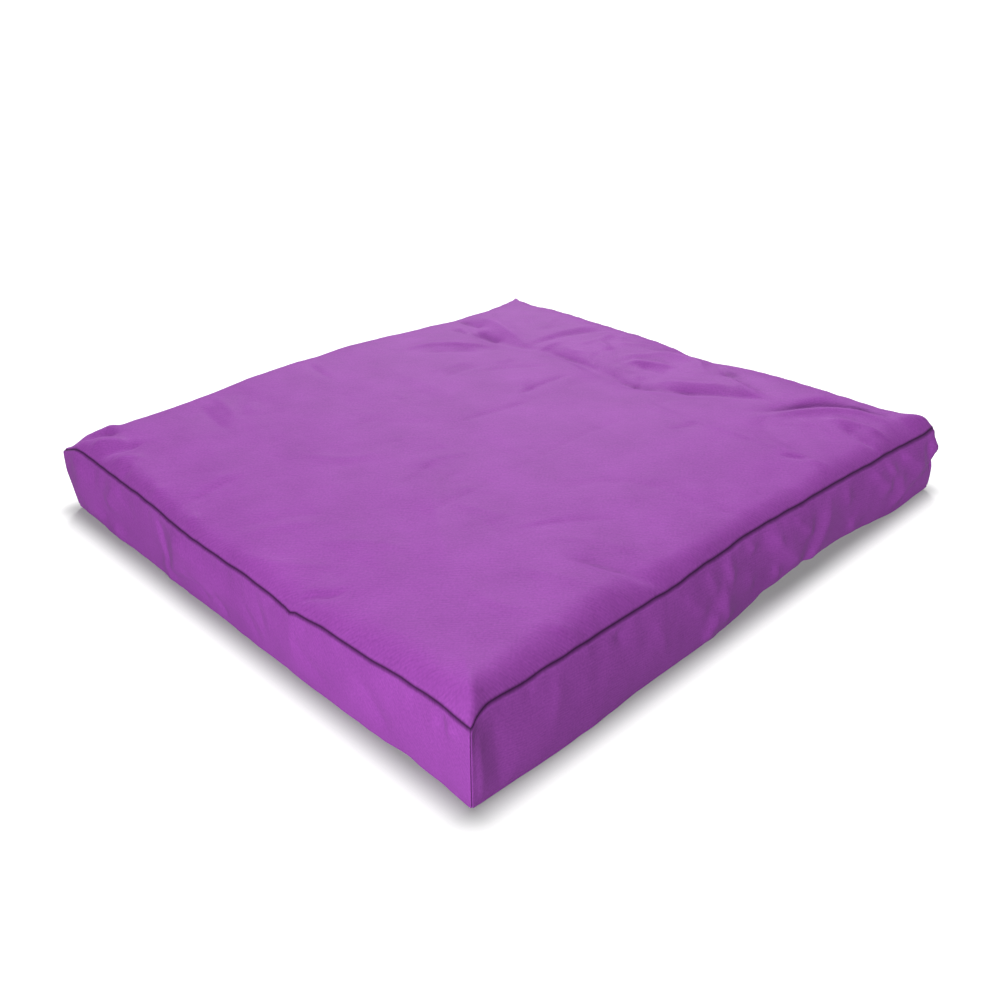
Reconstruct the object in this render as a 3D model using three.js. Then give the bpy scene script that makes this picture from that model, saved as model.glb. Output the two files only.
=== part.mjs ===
// A zabuton: a square floor cushion of cotton twill with a boxing strip round its sides,
// filled with loose batting, lying as it does after use. One closed, filled solid.
// Millimetres, +Z up. The origin is the middle of the face that rests on the floor.
// The four sides are named from above: front is -Y, right is +X, back is +Y, left is -X.
import * as THREE from 'three';

// Driving dimensions
const WIDTH = 710; // along X, between the corner seams
const DEPTH = 760; // along Y, between the corner seams
const WALL = 79; // height of the boxing at the corners
const CROWN = 19; // lift of the top panel over its seam
const ROLL = 31; // distance over which the top panel rolls down to its seam
const DOME = 5; // slow extra rise of the top panel towards its middle
const DOME_POWER = 0.8; // below 1, the rise spreads out from the middle
const GROOVE = 3.5; // depth that a seam draws in
const GROOVE_REACH = 1.8; // distance over which a seam draws the cloth in
const FOOT_ROUND = 9; // how far the resting face stays inside the lower edge
const LIFT_TUCK = 2.5; // and how much further for each millimetre that the edge is lifted
const FOLD_END = 0.35; // share of its height that a fold has left at its ends
const FOLD_TAPER = 0.25; // share of its length over which it comes up from there
const FOLD_CLEAR = 5.4; // distance from the top seam over which the folds die away
const FOLD_CLEAR_SHARE = 0.125; // and the same on the boxing, as a share of its height
const COLOUR = 0xaa5cba; // purple cotton twill

// The top seam along each side: s runs from 0 to 1, anticlockwise seen from above.
// inset draws the seam in and rise lifts it, both in millimetres.
const SEAM_COLUMNS = ['s', 'inset', 'rise'];
const SEAM = {
  front: table(SEAM_COLUMNS, [
    [0.0, 0, 0],
    [0.025, 0.6, 5.5],
    [0.05, 1.5, 10.0],
    [0.07, 2.8, 9.7],
    [0.11, 3.5, 7.3],
    [0.16, 3.5, 5.5],
    [0.25, 3.4, 3.0],
    [0.32, 1.6, 1.4],
    [0.39, -0.8, -0.7],
    [0.47, -1.3, -1.1],
    [0.55, -1.0, -0.9],
    [0.62, -2.2, -2.0],
    [0.667, -3.9, -3.4],
    [0.69, -2.2, -2.0],
    [0.73, -0.6, -0.5],
    [0.8, -0.2, -0.2],
    [0.86, 1.1, 1.0],
    [0.91, 2.1, 1.8],
    [0.95, 1.6, 1.5],
    [1.0, 0, 0],
  ]),
  right: table(SEAM_COLUMNS, [
    [0.0, 0, 0],
    [0.015, 4.0, 3.5],
    [0.035, 6.9, 6.1],
    [0.08, 6.3, 5.5],
    [0.2, 6.4, 5.6],
    [0.27, 6.4, 5.6],
    [0.335, 5.7, 5.0],
    [0.41, 7.5, 6.6],
    [0.46, 8.0, 7.1],
    [0.5, 9.3, 8.2],
    [0.55, 8.7, 7.7],
    [0.64, 7.1, 6.3],
    [0.7, 6.5, 5.7],
    [0.76, 5.3, 4.6],
    [0.82, 3.8, 3.3],
    [0.88, 3.1, 2.7],
    [0.93, 1.2, 1.1],
    [0.97, 0, 0],
    [1.0, 0, 0],
  ]),
  back: table(SEAM_COLUMNS, [
    [0.0, 0, 0],
    [0.05, 4, 3],
    [0.12, 7, 6],
    [0.2, 8, 8],
    [0.28, 7, 7],
    [0.38, 6, 3],
    [0.44, 8, -1],
    [0.5, 7, -1],
    [0.54, 6, 2],
    [0.6, 5, 4],
    [0.7, 6, 5],
    [0.85, 6, 5],
    [0.95, 3, 2],
    [1.0, 0, 0],
  ]),
  left: table(SEAM_COLUMNS, [
    [0.0, 0, 0],
    [0.06, 5, 1],
    [0.12, 8, 1],
    [0.22, 7, 2],
    [0.35, 4, 6],
    [0.5, 3, 11],
    [0.64, 3, 9],
    [0.75, 4, 4],
    [0.84, 3, 3],
    [0.92, 2, 4],
    [0.97, 0, 4],
    [1.0, 0, 0],
  ]),
};

// The lower edge of each side: out pushes it outward, lift raises it off the floor,
// belly is how far the boxing swells between its two seams.
const FOOT_COLUMNS = ['s', 'out', 'lift', 'belly'];
const FOOT = {
  front: table(FOOT_COLUMNS, [
    [0.0, -3, 0, 1.5],
    [0.05, -1, 0, 2],
    [0.15, 0.5, 0, 2],
    [0.3, 2.4, 0, 2],
    [0.5, 3.5, 0, 3],
    [0.72, 5.6, 0, 3],
    [0.9, 3.2, 0, 3],
    [1.0, 6, 0, 1],
  ]),
  right: table(FOOT_COLUMNS, [
    [0.0, 5, 0, 1],
    [0.06, 7.5, 0, 3],
    [0.12, 8.6, 0, 4],
    [0.3, 5, 0, 5],
    [0.38, 3, 0, 5],
    [0.48, 2, 2, 5],
    [0.56, 0.5, 6, 5],
    [0.65, 0, 8, 6],
    [0.73, 0.5, 6, 6],
    [0.82, 2.5, 2, 6],
    [0.9, 6, 0, 5],
    [1.0, 4, 1, 2],
  ]),
  back: table(FOOT_COLUMNS, [
    [0.0, 1, 1, 1],
    [0.2, 5, 0, 5],
    [0.47, 4, 3, 4],
    [0.7, 6, 0, 5],
    [1.0, 4, 0, 1],
  ]),
  left: table(FOOT_COLUMNS, [
    [0.0, 4, 0, 1],
    [0.25, 5, 0, 4],
    [0.55, 7, 0, 6],
    [0.8, 4, 0, 4],
    [1.0, -4, 0, 1.5],
  ]),
};

// Folds of the top panel, each from (x1, y1) to (x2, y2) with its middle bowed to the left
// of that way by bow. A positive height is a ridge, a negative one a trough.
const TOP_FOLDS = table(['x1', 'y1', 'x2', 'y2', 'bow', 'width', 'height'], [
  [-215, 160, 125, 192, 4, 20, 4.0],
  [-115, 212, 30, 206, 0, 16, -3.5],
  [70, 168, 305, 172, -28, 12, -3.0],
  [222, 212, 346, 348, 24, 14, 4.0],
  [55, 198, 215, 254, -8, 14, 3.5],
  [92, 306, 208, 256, -6, 14, -3.5],
  [-112, 335, -142, 212, -6, 14, -4.0],
  [-150, 154, -245, 38, -14, 16, 3.5],
  [-60, 158, -128, 14, -10, 13, 2.8],
  [-24, 150, -16, -52, 4, 12, 2.2],
  [182, -128, 322, 34, 26, 18, 3.2],
  [270, -84, 203, -182, -6, 13, -3.2],
  [346, -92, 226, -172, -6, 14, 3.2],
  [350, -140, 244, -206, -4, 13, 2.8],
  [56, -90, 26, -166, 0, 12, -4.0],
  [36, -172, 204, -268, 4, 18, -3.6],
  [0, -60, -98, -132, -8, 18, 2.4],
  [-34, -128, -96, -216, 10, 14, 2.4],
  [120, -372, 148, -300, -4, 13, -3.6],
  [-292, -220, -204, -238, -4, 14, -3.0],
  [-292, -62, -232, -76, 0, 16, -2.4],
  [-300, -372, -262, -318, 0, 14, -4.0],
]);

// Folds of the boxing: s along the side and t up it, from 0 at the floor to 1 at the seam.
const SIDE_COLUMNS = ['s1', 't1', 's2', 't2', 'width', 'height'];
const SIDE_FOLDS = {
  front: table(SIDE_COLUMNS, [
    [0.05, 1.0, 0.024, 0.1, 11, 4.0],
    [0.158, 0.96, 0.126, 0.3, 11, -2.8],
    [0.304, 0.78, 0.352, 0.2, 11, 2.4],
    [0.362, 1.0, 0.356, 0.6, 11, -2.2],
    [0.59, 0.8, 0.6, 0.4, 12, 1.5],
    [0.972, 0.98, 0.96, 0.8, 9, -2.0],
  ]),
  right: table(SIDE_COLUMNS, [
    [0.43, 0.6, 0.436, 0.14, 11, 2.8],
    [0.456, 0.96, 0.474, 0.45, 11, 2.4],
    [0.545, 0.96, 0.622, 0.2, 12, 3.6],
    [0.612, 0.96, 0.646, 0.55, 11, 2.6],
    [0.7, 0.68, 0.636, 0.18, 12, 3.2],
    [0.815, 0.98, 0.9, 0.42, 12, 3.2],
    [0.852, 0.96, 0.922, 0.45, 11, 2.6],
    [0.915, 0.98, 0.99, 0.5, 12, 3.4],
    [1.0, 0.47, 0.87, 0.16, 12, 3.2],
    [0.975, 0.74, 1.0, 0.74, 11, 3.0],
    [0.99, 0.5, 1.0, 0.5, 6, -3.0],
  ]),
  back: table(SIDE_COLUMNS, [
    [0.0, 0.74, 0.025, 0.74, 11, 1.5],
    [0.0, 0.5, 0.01, 0.5, 6, -3.0],
    [0.3, 0.95, 0.36, 0.3, 13, 3.0],
    [0.47, 1.0, 0.46, 0.1, 14, -2.2],
    [0.66, 0.9, 0.6, 0.25, 13, 2.8],
  ]),
  left: table(SIDE_COLUMNS, [
    [0.18, 0.95, 0.24, 0.3, 13, 2.8],
    [0.52, 0.85, 0.46, 0.2, 13, 2.6],
    [0.9, 0.95, 0.95, 0.3, 12, 3.0],
  ]),
};

// Cloth steps in from each edge of the top panel, then evenly across it
const EDGE_STEPS = [0, 1.6, 5, 11, 20, 32, 46, 60];
const TOP_STEP = 15;
// Heights of the rows round the boxing: near the floor in millimetres, with how far each
// row stays inside the lower edge, then as shares of the way up to the seam
const FOOT_ROWS = [
  { up: 1.2, inside: 4.5 },
  { up: 4.5, inside: 1.0 },
  { up: 10, inside: 0 },
];
const WALL_ROWS = [0.26, 0.42, 0.58, 0.74, 0.87, 0.945, 0.98];

const SIDE_NAMES = ['front', 'right', 'back', 'left'];

function table(columns, rows) {
  return rows.map((row) => Object.fromEntries(columns.map((name, i) => [name, row[i]])));
}

// Slope at a row that never overshoots its neighbours
function slopeAt(rows, column, i) {
  if (i === 0 || i === rows.length - 1) return 0;
  const [a, b, c] = [rows[i - 1], rows[i], rows[i + 1]];
  const before = (b[column] - a[column]) / (b.s - a.s);
  const after = (c[column] - b[column]) / (c.s - b.s);
  return before * after > 0 ? (2 * before * after) / (before + after) : 0;
}

// A column of a side's table, read smoothly at any s
function along(rows, column, s) {
  let i = 0;
  while (i < rows.length - 2 && s > rows[i + 1].s) i += 1;
  const span = rows[i + 1].s - rows[i].s;
  const t = THREE.MathUtils.clamp((s - rows[i].s) / span, 0, 1);
  const start = rows[i][column];
  const end = rows[i + 1][column];
  const leave = slopeAt(rows, column, i) * span;
  const arrive = slopeAt(rows, column, i + 1) * span;
  const t2 = t * t;
  const t3 = t2 * t;
  return (2 * t3 - 3 * t2 + 1) * start + (t3 - 2 * t2 + t) * leave
    + (3 * t2 - 2 * t3) * end + (t3 - t2) * arrive;
}

// Height of a fold at a point: a bell across the fold that fades out at both its ends
function foldHeight(px, py, x1, y1, x2, y2, bow, width, height) {
  const dx = x2 - x1;
  const dy = y2 - y1;
  const length = Math.hypot(dx, dy);
  const t = ((px - x1) * dx + (py - y1) * dy) / (length * length);
  const middle = 4 * bow * THREE.MathUtils.clamp(t, 0, 1) * THREE.MathUtils.clamp(1 - t, 0, 1);
  const across = ((py - y1) * dx - (px - x1) * dy) / length - middle;
  const past = Math.max(0, -t, t - 1) * length;
  const inside = THREE.MathUtils.clamp(Math.min(t, 1 - t) / FOLD_TAPER, 0, 1);
  const fade = THREE.MathUtils.lerp(FOLD_END, 1, inside) * Math.exp(-((past / width) ** 2));
  return height * fade * Math.exp(-((across / width) ** 2));
}

const rising = (distance, reach) => 1 - Math.exp(-distance / reach);
const drawIn = (distance) => rising(distance, GROOVE_REACH);

const sideLength = (side) => (side === 'front' || side === 'back' ? WIDTH : DEPTH);

// How far the boxing of a side stands out from the straight line between its corners
function wallOut(side, s, t) {
  const foot = along(FOOT[side], 'out', s);
  const inset = along(SEAM[side], 'inset', s);
  const belly = along(FOOT[side], 'belly', s);
  const toSeam = (1 - t) * (WALL + along(SEAM[side], 'rise', s));
  const swell = belly * Math.sin(Math.PI * t);
  return foot * (1 - t) - inset * t + swell + GROOVE * drawIn(toSeam) + wallFolds(side, s, t);
}

// The fold relief of a side, which fades out at its top seam
function wallFolds(side, s, t) {
  const length = sideLength(side);
  let sum = 0;
  for (const f of SIDE_FOLDS[side]) {
    sum += foldHeight(
      s * length, t * WALL,
      f.s1 * length, f.t1 * WALL, f.s2 * length, f.t2 * WALL,
      0, f.width, f.height,
    );
  }
  return sum * Math.min(1, (1 - t) / FOLD_CLEAR_SHARE);
}

// Places a point of a side, given how far it stands out there and at the side's two ends
function placeOnSide(side, s, out, startOut, endOut, z) {
  const halfX = WIDTH / 2;
  const halfY = DEPTH / 2;
  const mix = THREE.MathUtils.lerp;
  if (side === 'front') return [mix(-halfX - startOut, halfX + endOut, s), -halfY - out, z];
  if (side === 'right') return [halfX + out, mix(-halfY - startOut, halfY + endOut, s), z];
  if (side === 'back') return [mix(halfX + startOut, -halfX - endOut, s), halfY + out, z];
  return [-halfX - out, mix(halfY + startOut, -halfY - endOut, s), z];
}

// A point of the boxing at share t of the way up it, or at a height over its lower edge
function wallPoint(index, s, t, inside = 0, upFromFoot = null) {
  const side = SIDE_NAMES[index];
  const before = SIDE_NAMES[(index + 3) % 4];
  const after = SIDE_NAMES[(index + 1) % 4];
  const full = WALL + along(SEAM[side], 'rise', s);
  const lift = along(FOOT[side], 'lift', s);
  const z = upFromFoot === null ? lift + (full - lift) * t : lift + upFromFoot;
  const share = z / full;
  // The upright corner seams draw the cloth in, as the top seam does
  const pull = inside + GROOVE * (1 - drawIn(Math.min(s, 1 - s) * sideLength(side)));
  const out = wallOut(side, s, share) - pull;
  const startOut = wallOut(before, 1, share) - pull;
  const endOut = wallOut(after, 0, share) - pull;
  return placeOnSide(side, s, out, startOut, endOut, z);
}

// A point of the top panel. The insets and rises of its four seams are blended across it.
function topPoint(u, v) {
  const front = (column) => along(SEAM.front, column, u);
  const back = (column) => along(SEAM.back, column, 1 - u);
  const right = (column) => along(SEAM.right, column, v);
  const left = (column) => along(SEAM.left, column, 1 - v);
  const x = (u - 0.5) * WIDTH + (1 - u) * left('inset') - u * right('inset');
  const y = (v - 0.5) * DEPTH + (1 - v) * front('inset') - v * back('inset');
  const rise = (1 - v) * front('rise') + v * back('rise') + u * right('rise') + (1 - u) * left('rise');
  const edges = [u * WIDTH, (1 - u) * WIDTH, v * DEPTH, (1 - v) * DEPTH];
  const crown = CROWN * edges.reduce((share, edge) => share * rising(edge, ROLL), 1);
  const nearest = Math.min(...edges);
  const groove = GROOVE * drawIn(nearest);
  const dome = DOME * (16 * u * (1 - u) * v * (1 - v)) ** DOME_POWER;
  let folds = 0;
  for (const f of TOP_FOLDS) {
    folds += foldHeight(x, y, f.x1, f.y1, f.x2, f.y2, f.bow, f.width, f.height);
  }
  return [x, y, WALL + rise + crown + groove + dome + folds * rising(nearest, FOLD_CLEAR)];
}

// Shares from 0 to 1 that follow the edge steps in from both ends of a length
function gridShares(length) {
  const inner = EDGE_STEPS.at(-1);
  const cells = Math.round((length - 2 * inner) / TOP_STEP);
  const shares = EDGE_STEPS.slice(0, -1).map((step) => step / length);
  for (let i = 0; i <= cells; i += 1) {
    shares.push((inner + ((length - 2 * inner) * i) / cells) / length);
  }
  for (const step of EDGE_STEPS.slice(0, -1).reverse()) shares.push(1 - step / length);
  return shares;
}

function buildCushion() {
  const us = gridShares(WIDTH);
  const vs = gridShares(DEPTH);
  const points = [];
  const faces = [];
  const addPoint = (p) => points.push(p) - 1;
  const addQuad = (a, b, c, d) => faces.push([a, b, c], [a, c, d]);

  // Top panel
  const top = vs.map((v) => us.map((u) => addPoint(topPoint(u, v))));
  for (let j = 0; j < vs.length - 1; j += 1) {
    for (let i = 0; i < us.length - 1; i += 1) {
      addQuad(top[j][i], top[j][i + 1], top[j + 1][i + 1], top[j + 1][i]);
    }
  }

  // The top panel's edge, once round, with the side and the share along it of each point
  const ring = [];
  us.slice(0, -1).forEach((u, i) => ring.push({ side: 0, s: u, id: top[0][i] }));
  vs.slice(0, -1).forEach((v, j) => ring.push({ side: 1, s: v, id: top[j][us.length - 1] }));
  us.slice(1).reverse().forEach((u, i) => {
    ring.push({ side: 2, s: 1 - u, id: top[vs.length - 1][us.length - 1 - i] });
  });
  vs.slice(1).reverse().forEach((v, j) => {
    ring.push({ side: 3, s: 1 - v, id: top[vs.length - 1 - j][0] });
  });

  // Boxing, from the seam down, then the rounded foot and the rim of the resting face
  const loops = [ring.map((r) => r.id)];
  for (const t of [...WALL_ROWS].reverse()) {
    loops.push(ring.map((r) => addPoint(wallPoint(r.side, r.s, t))));
  }
  for (const row of [...FOOT_ROWS].reverse()) {
    loops.push(ring.map((r) => addPoint(wallPoint(r.side, r.s, 0, row.inside, row.up))));
  }
  loops.push(ring.map((r) => {
    const side = SIDE_NAMES[r.side];
    const tuck = FOOT_ROUND + LIFT_TUCK * along(FOOT[side], 'lift', r.s);
    const [x, y] = wallPoint(r.side, r.s, 0, tuck, 0);
    return addPoint([x, y, 0]);
  }));
  const count = ring.length;
  for (let k = 0; k < loops.length - 1; k += 1) {
    for (let i = 0; i < count; i += 1) {
      const j = (i + 1) % count;
      addQuad(loops[k][i], loops[k + 1][i], loops[k + 1][j], loops[k][j]);
    }
  }

  // Resting face, flat on the floor
  const rim = loops.at(-1);
  const middle = addPoint([0, 0, 0]);
  for (let i = 0; i < count; i += 1) faces.push([middle, rim[(i + 1) % count], rim[i]]);

  const geometry = new THREE.BufferGeometry();
  geometry.setAttribute('position', new THREE.Float32BufferAttribute(points.flat(), 3));
  geometry.setIndex(faces.flat());
  geometry.computeVertexNormals();
  return geometry;
}

const cloth = new THREE.MeshStandardMaterial({ color: COLOUR, roughness: 0.9, metalness: 0 });
const cushion = new THREE.Mesh(buildCushion(), cloth);
cushion.name = 'cushion';

const zabuton = new THREE.Group();
zabuton.add(cushion);

export default zabuton;
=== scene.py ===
# A zabuton: a square floor cushion of purple cotton twill with a boxing strip round its sides,
# filled with loose batting, lying on a white floor.
# The cushion's lengths are in millimetres and the scene is in metres, +Z up. The four sides are
# named from above: front is -Y, right is +X, back is +Y, left is -X.
import math

import bpy
import numpy as np
from mathutils import Matrix, Vector


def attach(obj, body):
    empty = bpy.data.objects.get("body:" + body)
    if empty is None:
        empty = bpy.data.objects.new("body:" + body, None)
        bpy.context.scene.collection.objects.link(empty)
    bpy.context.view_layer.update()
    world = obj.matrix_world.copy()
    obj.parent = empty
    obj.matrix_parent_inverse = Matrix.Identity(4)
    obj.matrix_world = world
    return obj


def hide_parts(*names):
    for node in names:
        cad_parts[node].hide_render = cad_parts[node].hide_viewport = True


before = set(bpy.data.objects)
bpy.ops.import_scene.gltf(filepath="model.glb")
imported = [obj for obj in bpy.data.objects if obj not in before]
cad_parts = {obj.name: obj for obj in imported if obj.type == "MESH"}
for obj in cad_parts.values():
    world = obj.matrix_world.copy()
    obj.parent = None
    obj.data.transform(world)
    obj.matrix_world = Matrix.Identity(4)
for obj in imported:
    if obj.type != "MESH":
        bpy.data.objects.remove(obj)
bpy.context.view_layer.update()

MM = 0.001

# Driving dimensions
WIDTH = 710.0  # along X, between the corner seams
DEPTH = 760.0  # along Y, between the corner seams
WALL = 79.0  # height of the boxing at the corners
CROWN = 19.0  # lift of the top panel over its seam
ROLL_POWER = 2.2  # how round the top panel rolls down to its seam
SLOW_ROLL = 190.0  # distance over which the slow part of the crown comes up
DOME = 5.0  # slow extra rise of the top panel towards its middle
DOME_POWER = 0.8  # below 1, the rise spreads out from the middle
LIP = 0.5  # how far the cloth rolls in towards a seam
LIP_REACH = 1.8  # and the distance from the seam over which it does
CRACK = 1.5  # depth of the stitched crack itself
CRACK_REACH = 0.4  # and half its width, roughly
SEAM_OUT = 1.1  # how far a seam still stands out from the lines between the corners
FOOT_IN = 4.5  # how far the resting face stays inside the lower edge
FOOT_UP = 5.0  # height of the lower seam, where the rounding of the lower edge ends
FOOT_GROOVE = 0.8  # depth of the lower seam
FOOT_GROOVE_REACH = 1.1  # and half its width, roughly
LIFT_TUCK = 2.5  # further inside for each millimetre that the edge is lifted
LIFT_POWER = 0.5  # below 1, a lifted edge comes down only far inside
FOLD_CLEAR = 5.4  # distance from the top seam over which the folds die away
FOLD_CLEAR_SHARE = 0.125  # and the same on the boxing, as a share of its height

# The cross section and the ends of a fold
FOLD_SHARPNESS = 1.4  # 2 is a round bell, 1 a sharp crest
FOLD_END = 0.15  # share of its height that a fold has left at its ends
FOLD_TAPER = 0.3  # share of its length over which it comes up from there
FOLD_NARROW = 0.6  # share of its width that it has at its ends
FOLD_REACH = 3  # a fold is left out further than so many widths from its path
PATH_STEPS = 6  # steps of the smooth line between two points of a fold's path

# Heights of the folds in the tables are scaled by these
TOP_RELIEF = 1.75
SIDE_RELIEF = 2.6

# Rows of points: their distances in from a seam and up from the lower seam, even steps over the
# rest, the rows of the rounded lower edge and the rings of faces across the resting face
SEAM_STEPS = [0, 0.5, 1.0, 1.7, 2.6, 3.8, 5.4, 7.5, 10.2, 13.2]
LOWER_STEPS = [4.4, 2.6, 1.5, 0.7, 0]
TOP_STEP = 3.2
WALL_STEP = 4.4
FOOT_ROWS = 7
RESTING_RINGS = 4

# Unevenness that no fold of the tables gives: its shortest and longest waves, its size (the root
# mean square of its height) and the distance from a seam over which it fades
SEED = 11
WAVES = 48
LUMP_LENGTHS = (70, 190)
LUMP_SIZE = 0.5
WRINKLE_LENGTHS = (14, 40)
WRINKLE_SIZE = 0.12
PUCKER_LENGTHS = (11, 42)
PUCKER_SIZE = 0.32
PUCKER_REACH = 13.0
WANDER_LENGTHS = (22, 70)
WANDER_SIZE = 0.3
WANDER_REACH = 9.0
WANDER_END = 40.0  # distance from a corner, which stays where it is

# Slant of the twill lines on each panel, in degrees from its long way
WALE_SLANT = {"top": 38, "front": 52, "right": 6, "back": 52, "left": 6, "under": 38}
# Shade is painted into the cloth along each seam's crack, darkening it on top of the crack's own
# shadow
SEAM_SHADE_REACH = 0.42  # distance over which the shade of a seam fades


def table(columns, rows):
    """Rows of numbers as one array for each named column."""
    return {name: np.array([row[i] for row in rows], float) for i, name in enumerate(columns)}


def rows_of(columns, rows):
    """Rows of numbers as one dictionary for each row."""
    return [dict(zip(columns, row)) for row in rows]


# The top seam along each side: s runs from 0 to 1, anticlockwise seen from above. inset draws
# the seam in and rise lifts it. The top panel rolls down to it within roll by that share of its
# crown, and by the rest within SLOW_ROLL.
SEAM_COLUMNS = ["s", "inset", "rise", "roll", "share"]
SEAM = {
    "front": table(SEAM_COLUMNS, [
        [0.0, 0, 0, 46, 1.0],
        [0.025, 0.6, 5.5, 40, 0.9],
        [0.05, 1.5, 10.0, 30, 0.75],
        [0.07, 2.8, 9.7, 26, 0.66],
        [0.11, 3.5, 7.3, 22, 0.62],
        [0.16, 3.5, 5.5, 21, 0.62],
        [0.25, 3.4, 3.0, 20, 0.6],
        [0.32, 1.6, 1.4, 19, 0.52],
        [0.39, -0.8, -0.7, 18, 0.42],
        [0.47, -1.3, -1.1, 18, 0.35],
        [0.55, -1.0, -0.9, 18, 0.32],
        [0.62, -2.2, -2.0, 20, 0.32],
        [0.65, -3.2, -2.8, 22, 0.34],
        [0.667, -4.4, -4.2, 24, 0.36],
        [0.675, -3.0, -2.4, 22, 0.35],
        [0.69, -2.2, -2.0, 22, 0.34],
        [0.73, -0.6, -0.5, 20, 0.32],
        [0.8, -0.2, -0.2, 20, 0.34],
        [0.86, 1.1, 1.0, 20, 0.38],
        [0.91, 2.1, 1.8, 20, 0.46],
        [0.95, 1.6, 1.5, 20, 0.6],
        [1.0, 0, 0, 22, 0.9],
    ]),
    "right": table(SEAM_COLUMNS, [
        [0.0, 0, 0, 16, 1.0],
        [0.015, 4.0, 3.5, 18, 0.95],
        [0.035, 6.9, 6.1, 22, 0.85],
        [0.08, 6.3, 5.5, 30, 0.82],
        [0.2, 6.4, 5.6, 34, 0.8],
        [0.27, 6.4, 5.6, 32, 0.76],
        [0.335, 5.7, 5.0, 28, 0.66],
        [0.41, 7.5, 6.6, 22, 0.5],
        [0.46, 8.0, 7.1, 20, 0.46],
        [0.5, 9.3, 8.2, 20, 0.44],
        [0.55, 8.7, 7.7, 20, 0.44],
        [0.64, 7.1, 6.3, 20, 0.44],
        [0.7, 6.5, 5.7, 21, 0.46],
        [0.76, 5.3, 4.6, 22, 0.5],
        [0.82, 3.8, 3.3, 24, 0.56],
        [0.88, 3.1, 2.7, 28, 0.64],
        [0.93, 1.2, 1.1, 34, 0.78],
        [0.97, 0, 0.5, 24, 0.92],
        [1.0, 0, 2, 14, 1.0],
    ]),
    "back": table(SEAM_COLUMNS, [
        [0.0, 0, 2, 14, 1],
        [0.04, 3, 3, 40, 1],
        [0.12, 7, 6, 70, 1],
        [0.2, 8, 8, 72, 1],
        [0.28, 7, 7, 72, 1],
        [0.38, 6, 3, 72, 1],
        [0.44, 8, -1, 72, 1],
        [0.5, 7, -1, 72, 1],
        [0.54, 6, 2, 72, 1],
        [0.6, 5, 4, 72, 1],
        [0.7, 6, 5, 72, 1],
        [0.85, 6, 5, 70, 1],
        [0.94, 4, 1, 68, 1],
        [0.985, 1, 1, 48, 1],
        [1.0, 0, 3.5, 34, 1],
    ]),
    "left": table(SEAM_COLUMNS, [
        [0.0, 0, 3.5, 34, 1],
        [0.015, 1, 1, 48, 1],
        [0.06, 5, 0, 68, 1],
        [0.12, 8, 1, 70, 1],
        [0.22, 7, 2, 72, 1],
        [0.35, 4, 6, 72, 1],
        [0.5, 3, 11, 72, 1],
        [0.64, 3, 9, 72, 1],
        [0.75, 4, 4, 70, 1],
        [0.84, 3, 0.5, 70, 1],
        [0.92, 2, -0.5, 66, 1],
        [0.97, 1, -1.5, 60, 1],
        [1.0, -2, 0, 46, 1],
    ]),
}

# The lower edge of each side: out pushes it outward, lift raises it off the floor,
# belly is how far the boxing swells between its two seams.
FOOT_COLUMNS = ["s", "out", "lift", "belly"]
FOOT = {
    "front": table(FOOT_COLUMNS, [
        [0.0, -4.5, 0, 1.5],
        [0.05, -4.5, 0, 1.5],
        [0.15, -2.5, 0, 2],
        [0.3, -0.6, 0, 2],
        [0.5, 0.5, 0, 3],
        [0.72, 2.6, 0, 3],
        [0.84, 1.2, 0, 3],
        [0.88, 0.6, 3, 3],
        [0.92, 0.6, 0, 3],
        [1.0, 3, 0, 1],
    ]),
    "right": table(FOOT_COLUMNS, [
        [0.0, 1.8, 0, 1],
        [0.06, 4.3, 0, 3],
        [0.12, 5.4, 0, 4],
        [0.3, 1.8, 0, 5],
        [0.38, -0.2, 0, 5],
        [0.48, -1.2, 0.5, 5],
        [0.52, -3.3, 3, 5],
        [0.545, -3.7, 9, 5],
        [0.57, -4, 8, 5],
        [0.6, -4.3, 13, 6],
        [0.64, -4.5, 18, 6],
        [0.67, -4.3, 17, 6],
        [0.71, -3.8, 13, 6],
        [0.78, -2.2, 7.5, 6],
        [0.84, 0.5, 3.5, 6],
        [0.9, 3.5, 1, 5],
        [1.0, 2.5, 1, 2],
    ]),
    "back": table(FOOT_COLUMNS, [
        [0.0, 1, 1, 1],
        [0.2, 5, 0, 5],
        [0.47, 4, 3, 4],
        [0.7, 6, 0, 5],
        [1.0, 4, 0, 1],
    ]),
    "left": table(FOOT_COLUMNS, [
        [0.0, 4, 0, 1],
        [0.25, 5, 0, 4],
        [0.55, 7, 0, 6],
        [0.8, 4, 0, 4],
        [0.95, 1, 0, 2],
        [1.0, 0, 0, 1.5],
    ]),
}

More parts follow.
